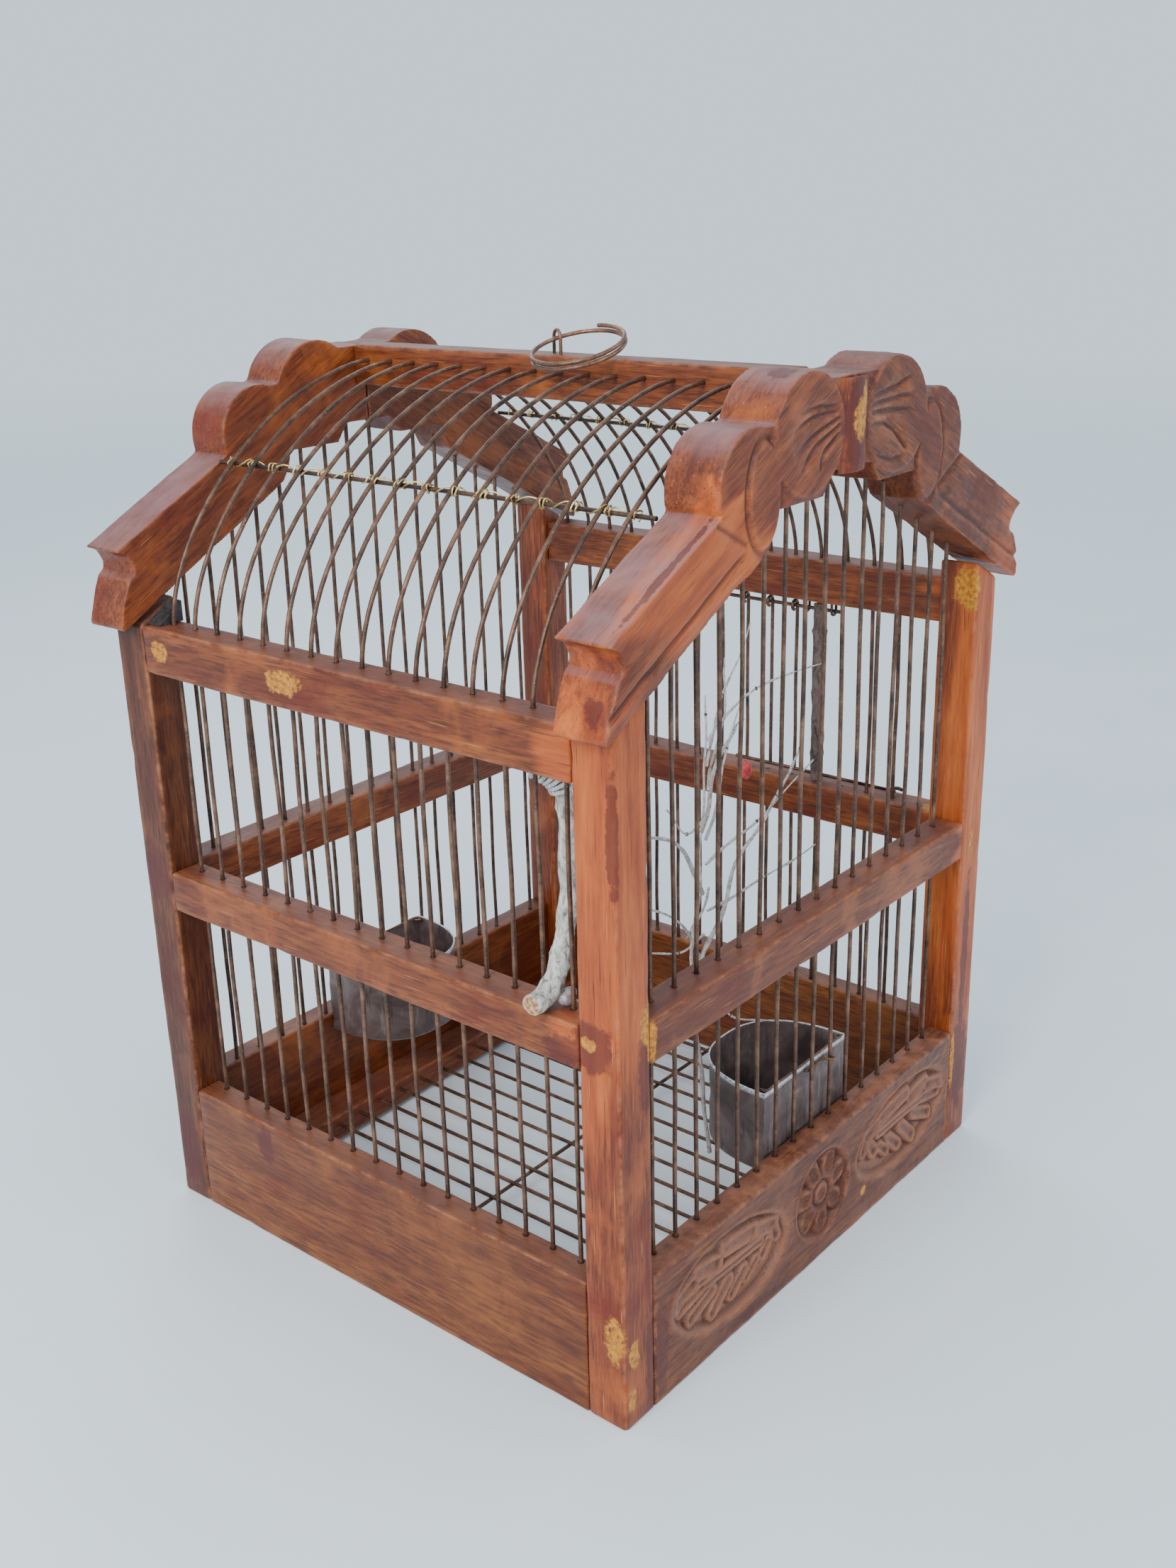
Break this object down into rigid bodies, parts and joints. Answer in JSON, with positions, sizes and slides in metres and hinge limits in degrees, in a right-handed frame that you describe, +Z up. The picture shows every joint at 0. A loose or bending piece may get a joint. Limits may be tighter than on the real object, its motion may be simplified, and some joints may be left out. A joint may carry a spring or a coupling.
{
  "type": "bird cage",
  "caption": "Wooden songbird cage with wire walls, an arched wire roof between two carved gables, a top-hung wire flap door, a hanging ring, feed cups and a perch.",
  "frame": {"origin": "centre of the underside, on the plane the four posts stand on", "axes": "+Z up; -Y towards the carved front gable; the ridge runs along Y; the door is in the +X wall"},
  "size_m": [0.359, 0.349, 0.4856],
  "materials": {
    "varnished_wood": "old red-brown varnish, worn on the edges",
    "carved_wood": "old orange-brown varnish over hand carving",
    "blackened_wood": "blackened",
    "rusty_wire": "dark brown rust with worn bright spots",
    "zinc_tin": "dark dull zinc-coated tin",
    "pale_bark": "pale grey bark"
  },
  "bodies": {
    "frame": {"post_front_left": "varnished_wood", "post_front_right": "varnished_wood", "post_back_left": "varnished_wood", "post_back_right": "varnished_wood", "base_board_front": "varnished_wood", "base_board_back": "varnished_wood", "base_board_left": "varnished_wood", "base_board_right": "varnished_wood", "mid_rail_front": "varnished_wood", "mid_rail_back": "varnished_wood", "mid_rail_left": "varnished_wood", "mid_rail_right": "varnished_wood", "eave_rail_left": "varnished_wood", "eave_rail_right": "varnished_wood", "ridge_beam": "varnished_wood", "gable_front_left": "carved_wood", "gable_front_right": "carved_wood", "gable_back_left": "carved_wood", "gable_back_right": "carved_wood", "keystone_front": "carved_wood", "keystone_back": "carved_wood", "corner_block": "blackened_wood", "floor_ledge_front": "varnished_wood", "floor_ledge_back": "varnished_wood", "floor_grid": "rusty_wire", "wires_front": "rusty_wire", "wires_back": "rusty_wire", "wires_left": "rusty_wire", "wires_right_back": "rusty_wire", "wires_right_front": "rusty_wire", "wires_right_low": "rusty_wire", "roof_wires_left_low": "rusty_wire", "roof_wires_left_high": "rusty_wire", "roof_wires_right_low": "rusty_wire", "roof_wires_right_high": "rusty_wire", "door_hinge_rod": "rusty_wire", "door_staple_a": "rusty_wire", "door_staple_b": "rusty_wire", "hanger_eye": "rusty_wire", "perch_branch": "pale_bark"},
    "door": {"door_wires": "rusty_wire", "door_bar": "pale_bark"},
    "ring": {"hanging_ring": "rusty_wire"},
    "front_cup": {"cup_front": "zinc_tin", "cup_hook_front": "rusty_wire"},
    "back_cup": {"cup_back": "zinc_tin", "cup_hook_back": "rusty_wire"}
  },
  "joints": [
    {"name": "door_hinge", "type": "hinge", "parent": "frame", "child": "door", "pos_m": [0.1565, -0.03, 0.3145], "axis": [0, -1, 0], "range_deg": [0, 88]},
    {"name": "ring_hinge", "type": "hinge", "parent": "frame", "child": "ring", "pos_m": [0, 0.0013, 0.4787], "axis": [-0.8745, 0.4134, -0.2536], "range_deg": [0, 120]},
    {"name": "front_cup_lift", "type": "slide", "parent": "frame", "child": "front_cup", "axis": [0, 0, 1], "range_m": [0, 0.06]},
    {"name": "back_cup_lift", "type": "slide", "parent": "frame", "child": "back_cup", "axis": [0, 0, 1], "range_m": [0, 0.06]}
  ]
}
